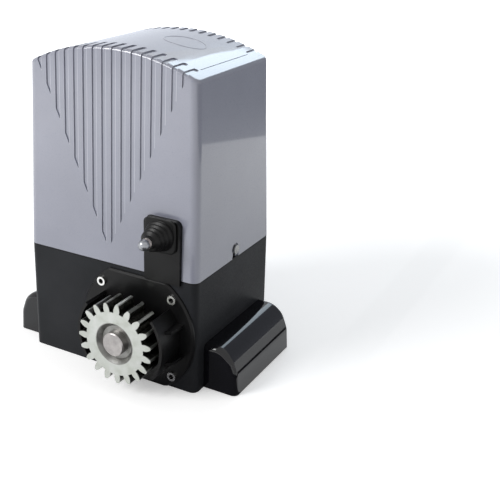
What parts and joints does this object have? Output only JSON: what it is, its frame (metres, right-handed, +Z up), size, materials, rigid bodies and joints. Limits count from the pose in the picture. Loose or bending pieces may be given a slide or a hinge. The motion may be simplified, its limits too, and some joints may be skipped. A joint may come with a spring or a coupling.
{
  "type": "sliding gate motor",
  "caption": "Sliding gate motor: worm gearbox base with a guarded rack pinion, upright motor, sprung limit lever in a boot, and fluted lift-off cover.",
  "frame": {"origin": "middle of the face that rests on the ground plate", "axes": "+Z up, +X along the gate, -Y towards the rack and pinion side"},
  "size_m": [0.2746, 0.1994, 0.332],
  "materials": {
    "housing_black": "fine textured powder coat, black",
    "cover_grey": "moulded, satin gloss, silver grey",
    "guard_black": "moulded, black",
    "foot_black": "moulded, high gloss, black",
    "zinc_steel": "zinc plated",
    "shaft_steel": "turned steel",
    "fastener_steel": "bright zinc plated",
    "bronze": "cast bronze",
    "cast_iron": "machined iron",
    "cast_alu": "die cast",
    "rubber": "moulded rubber, black",
    "lamination": "stacked electrical steel",
    "copper": "lacquered winding",
    "sheet_steel": "zinc coated sheet",
    "board_green": "printed board",
    "part_grey": "capacitor can",
    "part_black": "moulded component",
    "part_green": "terminal block",
    "part_glass": "fuse",
    "chrome_tip": "polished"
  },
  "bodies": {
    "base": {"base_casting": "housing_black", "cable_bush": "rubber", "pinion_guard": "guard_black", "guard_screws": "fastener_steel", "output_seal": "rubber", "output_bearing_front": "shaft_steel", "output_bearing_rear": "shaft_steel", "gearbox_lid": "cast_alu", "lid_screws": "fastener_steel", "worm_bearing_lower": "shaft_steel", "motor_bearing_lower": "shaft_steel", "motor_bearing_upper": "shaft_steel", "motor_lower_shield": "cast_alu", "motor_upper_shield": "cast_alu", "motor_bolts": "fastener_steel", "motor_stator": "lamination", "motor_windings": "copper", "capacitor": "part_grey", "capacitor_clamp": "part_black", "board_bracket": "sheet_steel", "board_standoffs": "fastener_steel", "control_board": "board_green", "transformer": "part_black", "relays": "part_black", "terminal_block": "part_green", "board_fuse": "part_glass", "limit_neck": "guard_black", "limit_switch_box": "part_black", "microswitches": "part_black", "limit_boot": "rubber", "lever_pin": "fastener_steel", "foot_cover_left": "foot_black", "foot_cover_right": "foot_black", "cover_seal": "rubber", "cover_screws": "fastener_steel"},
    "pinion": {"pinion_gear": "zinc_steel", "output_shaft": "shaft_steel", "shaft_key": "shaft_steel", "pinion_spacer": "shaft_steel", "worm_wheel": "bronze", "wheel_hub": "cast_iron"},
    "rotor": {"worm_shaft": "shaft_steel", "rotor_core": "lamination"},
    "lever": {"limit_lever": "shaft_steel", "lever_tip": "chrome_tip"},
    "cover": {"top_cover": "cover_grey"}
  },
  "joints": [
    {"name": "pinion_spin", "type": "hinge", "parent": "base", "child": "pinion", "pos_m": [0.035, -0.1, 0.056], "axis": [0, 1, 0], "continuous": true},
    {"name": "motor_spin", "type": "hinge", "parent": "base", "child": "rotor", "pos_m": [-0.0125, -0.012, 0.1], "axis": [0, 0, 1], "continuous": true},
    {"name": "limit_lever_swing", "type": "hinge", "parent": "base", "child": "lever", "pos_m": [0.0643, -0.0703, 0.1615], "axis": [0, 0, 1], "range_deg": [-20, 20], "stiffness_Nm_per_rad": 0.05, "deforming": ["limit_boot"]},
    {"name": "cover_lift", "type": "slide", "parent": "base", "child": "cover", "axis": [0, 0, 1], "range_m": [0, 0.2]}
  ],
  "couplings": [
    {"joint": "motor_spin", "follows": "pinion_spin", "ratio": -30}
  ]
}
